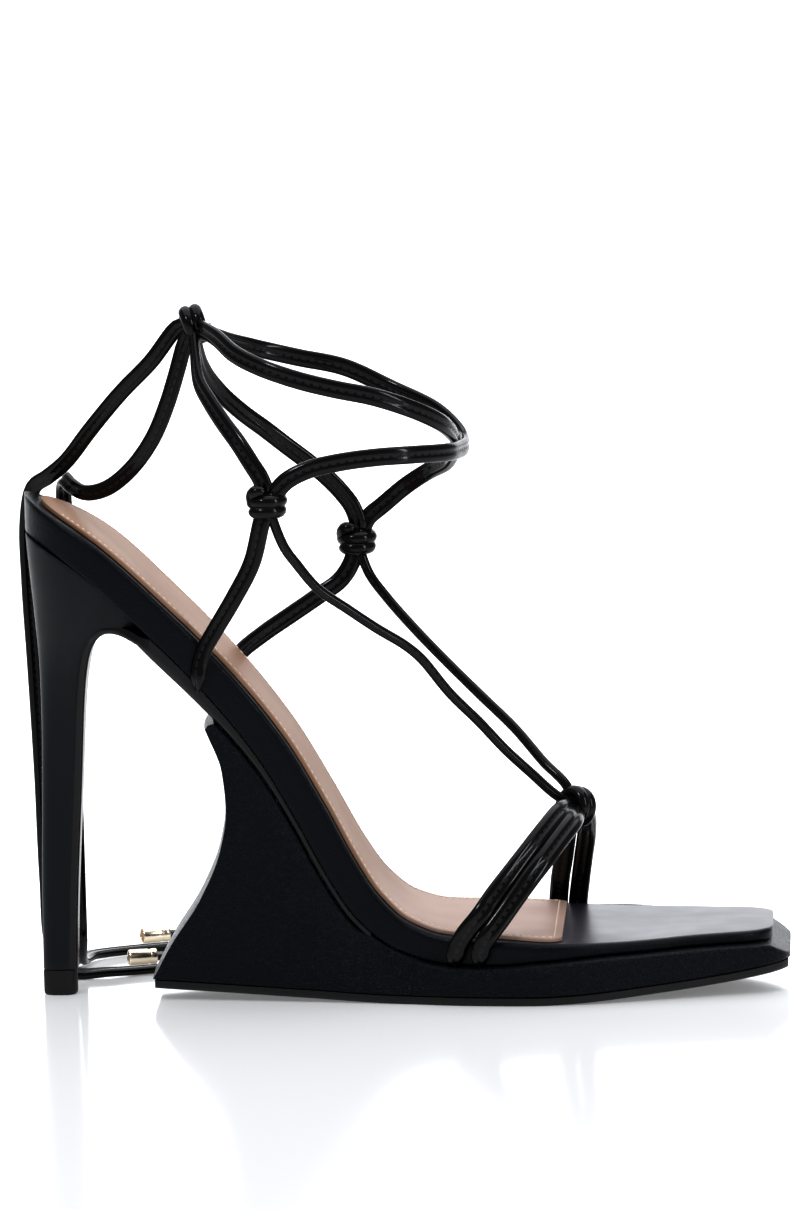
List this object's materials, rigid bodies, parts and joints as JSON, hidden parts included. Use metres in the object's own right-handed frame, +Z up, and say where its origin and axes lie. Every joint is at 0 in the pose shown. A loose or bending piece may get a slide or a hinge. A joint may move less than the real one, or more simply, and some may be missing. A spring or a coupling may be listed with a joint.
{
  "type": "lace-up stiletto sandal with cut-out wedge platform",
  "caption": "Square-toe lace-up sandal: slim tall heel, cut-out wedge platform, knotted instep cords, ankle straps and two loose tie ends with metal tips.",
  "frame": {"origin": "on the floor, under the middle of the heel tip", "axes": "+X towards the toe, +Y towards the inner side of the foot, +Z up"},
  "size_m": [0.2034, 0.1648, 0.1826],
  "materials": {
    "leather": "black smooth leather, satin",
    "strap_leather": "black leather, glossy, stitched along its middle",
    "sock": "tan lining leather, stitched near its edge",
    "sole": "black, semi-gloss",
    "outsole_rubber": "black, fine matte",
    "tip_rubber": "black, matte",
    "tip_metal": "pale gold plating, polished"
  },
  "bodies": {
    "root": {"heel_tip": "tip_rubber", "heel": "leather", "footbed": "leather", "insole": "sock", "waist_sole": "sole", "wedge_platform": "leather", "outsole": "outsole_rubber", "strap_upper": "strap_leather", "tie_outer": "strap_leather", "tie_inner": "strap_leather", "tie_tip_outer": "tip_metal", "tie_tip_inner": "tip_metal"}
  },
  "joints": []
}
